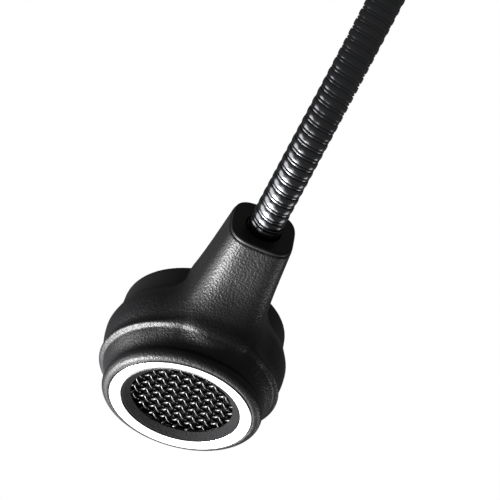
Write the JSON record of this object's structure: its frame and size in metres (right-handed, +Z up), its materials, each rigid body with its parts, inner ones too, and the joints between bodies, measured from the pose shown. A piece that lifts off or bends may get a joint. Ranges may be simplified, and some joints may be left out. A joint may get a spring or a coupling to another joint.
{
  "type": "desktop microphone",
  "caption": "Desktop microphone: round head with wire mesh and polished ring on a flexible steel gooseneck, standing on a weighted round base with a sprung talk key.",
  "frame": {"origin": "centre of the rubber pad's underside, on the desk", "axes": "+Z up, the talker at -Y, +X to the talker's right as they face the microphone"},
  "size_m": [0.116, 0.1492, 0.3564],
  "materials": {
    "textured_plastic": "fine leather-grain moulded black ABS",
    "cover_plastic": "satin black ABS",
    "key_plastic": "satin dark grey ABS",
    "polished_steel": "polished stainless ring",
    "bezel_plastic": "granular dark grey",
    "mesh_steel": "black coated woven wire",
    "gooseneck_steel": "wound steel strip, dark nickel",
    "steel": "plain steel",
    "iron": "as cast",
    "rubber": "moulded rubber",
    "foam": "open-cell foam",
    "brass": "turned brass",
    "aluminium": "turned aluminium",
    "board": "glass-epoxy board",
    "clear_plastic": "clear acrylic",
    "chip_plastic": "moulded epoxy"
  },
  "bodies": {
    "base": {"base_shell": "textured_plastic", "base_plate": "steel", "ballast": "iron", "rubber_pad": "rubber", "plate_screws": "steel", "ballast_screws": "steel", "control_board": "board", "board_screws": "steel", "switch_body": "chip_plastic", "audio_chip": "chip_plastic", "status_led": "clear_plastic", "light_pipe": "clear_plastic", "lead_socket": "steel", "key_spring": "steel", "gooseneck_flange": "polished_steel", "foot_stud": "brass", "lock_washer": "steel", "foot_nut": "steel", "gooseneck_link_01": "gooseneck_steel"},
    "gooseneck_02": {"gooseneck_link_02": "gooseneck_steel"},
    "gooseneck_03": {"gooseneck_link_03": "gooseneck_steel"},
    "gooseneck_04": {"gooseneck_link_04": "gooseneck_steel"},
    "gooseneck_05": {"gooseneck_link_05": "gooseneck_steel"},
    "gooseneck_06": {"gooseneck_link_06": "gooseneck_steel"},
    "gooseneck_07": {"gooseneck_link_07": "gooseneck_steel"},
    "gooseneck_08": {"gooseneck_link_08": "gooseneck_steel"},
    "gooseneck_09": {"gooseneck_link_09": "gooseneck_steel"},
    "gooseneck_10": {"gooseneck_link_10": "gooseneck_steel"},
    "head": {"gooseneck_link_11": "gooseneck_steel", "head_shell": "textured_plastic", "rear_cover": "cover_plastic", "trim_ring": "polished_steel", "grille_bezel": "bezel_plastic", "wire_mesh": "mesh_steel", "foam_disc": "foam", "capsule_case": "aluminium", "capsule_grille": "aluminium", "diaphragm": "clear_plastic", "voice_coil": "brass", "capsule_magnet": "steel", "rubber_mount": "rubber", "cover_gasket": "rubber", "cover_screws": "steel", "neck_ferrule": "brass", "mouth_bush": "cover_plastic"},
    "key": {"talk_key": "key_plastic"}
  },
  "joints": [
    {"name": "gooseneck_lower_bend", "type": "hinge", "parent": "base", "child": "gooseneck_02", "pos_m": [0, 0.018, 0.0552], "axis": [1, 0, 0], "range_deg": [-12, 16]},
    {"name": "gooseneck_lower_side", "type": "hinge", "parent": "gooseneck_02", "child": "gooseneck_03", "pos_m": [0, 0.018, 0.0822], "axis": [0, 1, 0], "range_deg": [-16, 16]},
    {"name": "gooseneck_lower_bend_2", "type": "hinge", "parent": "gooseneck_03", "child": "gooseneck_04", "pos_m": [0, 0.018, 0.1092], "axis": [1, 0, 0], "range_deg": [-12, 16]},
    {"name": "gooseneck_lower_side_2", "type": "hinge", "parent": "gooseneck_04", "child": "gooseneck_05", "pos_m": [0, 0.018, 0.1362], "axis": [0, 1, 0], "range_deg": [-16, 16]},
    {"name": "gooseneck_lower_bend_3", "type": "hinge", "parent": "gooseneck_05", "child": "gooseneck_06", "pos_m": [0, 0.018, 0.1632], "axis": [1, 0, 0], "range_deg": [-12, 16]},
    {"name": "gooseneck_upper_bend", "type": "hinge", "parent": "gooseneck_06", "child": "gooseneck_07", "pos_m": [0, 0.018, 0.1902], "axis": [1, 0, 0], "range_deg": [-10, 20]},
    {"name": "gooseneck_upper_side", "type": "hinge", "parent": "gooseneck_07", "child": "gooseneck_08", "pos_m": [0, 0.018, 0.2172], "axis": [0, 1, 0], "range_deg": [-18, 18]},
    {"name": "gooseneck_upper_bend_2", "type": "hinge", "parent": "gooseneck_08", "child": "gooseneck_09", "pos_m": [0, 0.018, 0.2442], "axis": [1, 0, 0], "range_deg": [-10, 20]},
    {"name": "gooseneck_upper_side_2", "type": "hinge", "parent": "gooseneck_09", "child": "gooseneck_10", "pos_m": [0, 0.0222, 0.26394], "axis": [0, 0.9511, -0.309], "range_deg": [-18, 18]},
    {"name": "gooseneck_upper_bend_3", "type": "hinge", "parent": "gooseneck_10", "child": "head", "pos_m": [0, 0.0304, 0.28237], "axis": [1, 0, 0], "range_deg": [-10, 20]},
    {"name": "key_press", "type": "slide", "parent": "base", "child": "key", "axis": [0, 0, -1], "range_m": [0, 0.002], "stiffness_N_per_m": 300, "springref_m": -0.001, "deforming": ["key_spring"]}
  ],
  "couplings": [
    {"joint": "gooseneck_lower_bend_2", "follows": "gooseneck_lower_bend", "ratio": 1},
    {"joint": "gooseneck_lower_side_2", "follows": "gooseneck_lower_side", "ratio": 1},
    {"joint": "gooseneck_lower_bend_3", "follows": "gooseneck_lower_bend", "ratio": 1},
    {"joint": "gooseneck_upper_bend_2", "follows": "gooseneck_upper_bend", "ratio": 1},
    {"joint": "gooseneck_upper_side_2", "follows": "gooseneck_upper_side", "ratio": 1},
    {"joint": "gooseneck_upper_bend_3", "follows": "gooseneck_upper_bend", "ratio": 1}
  ]
}
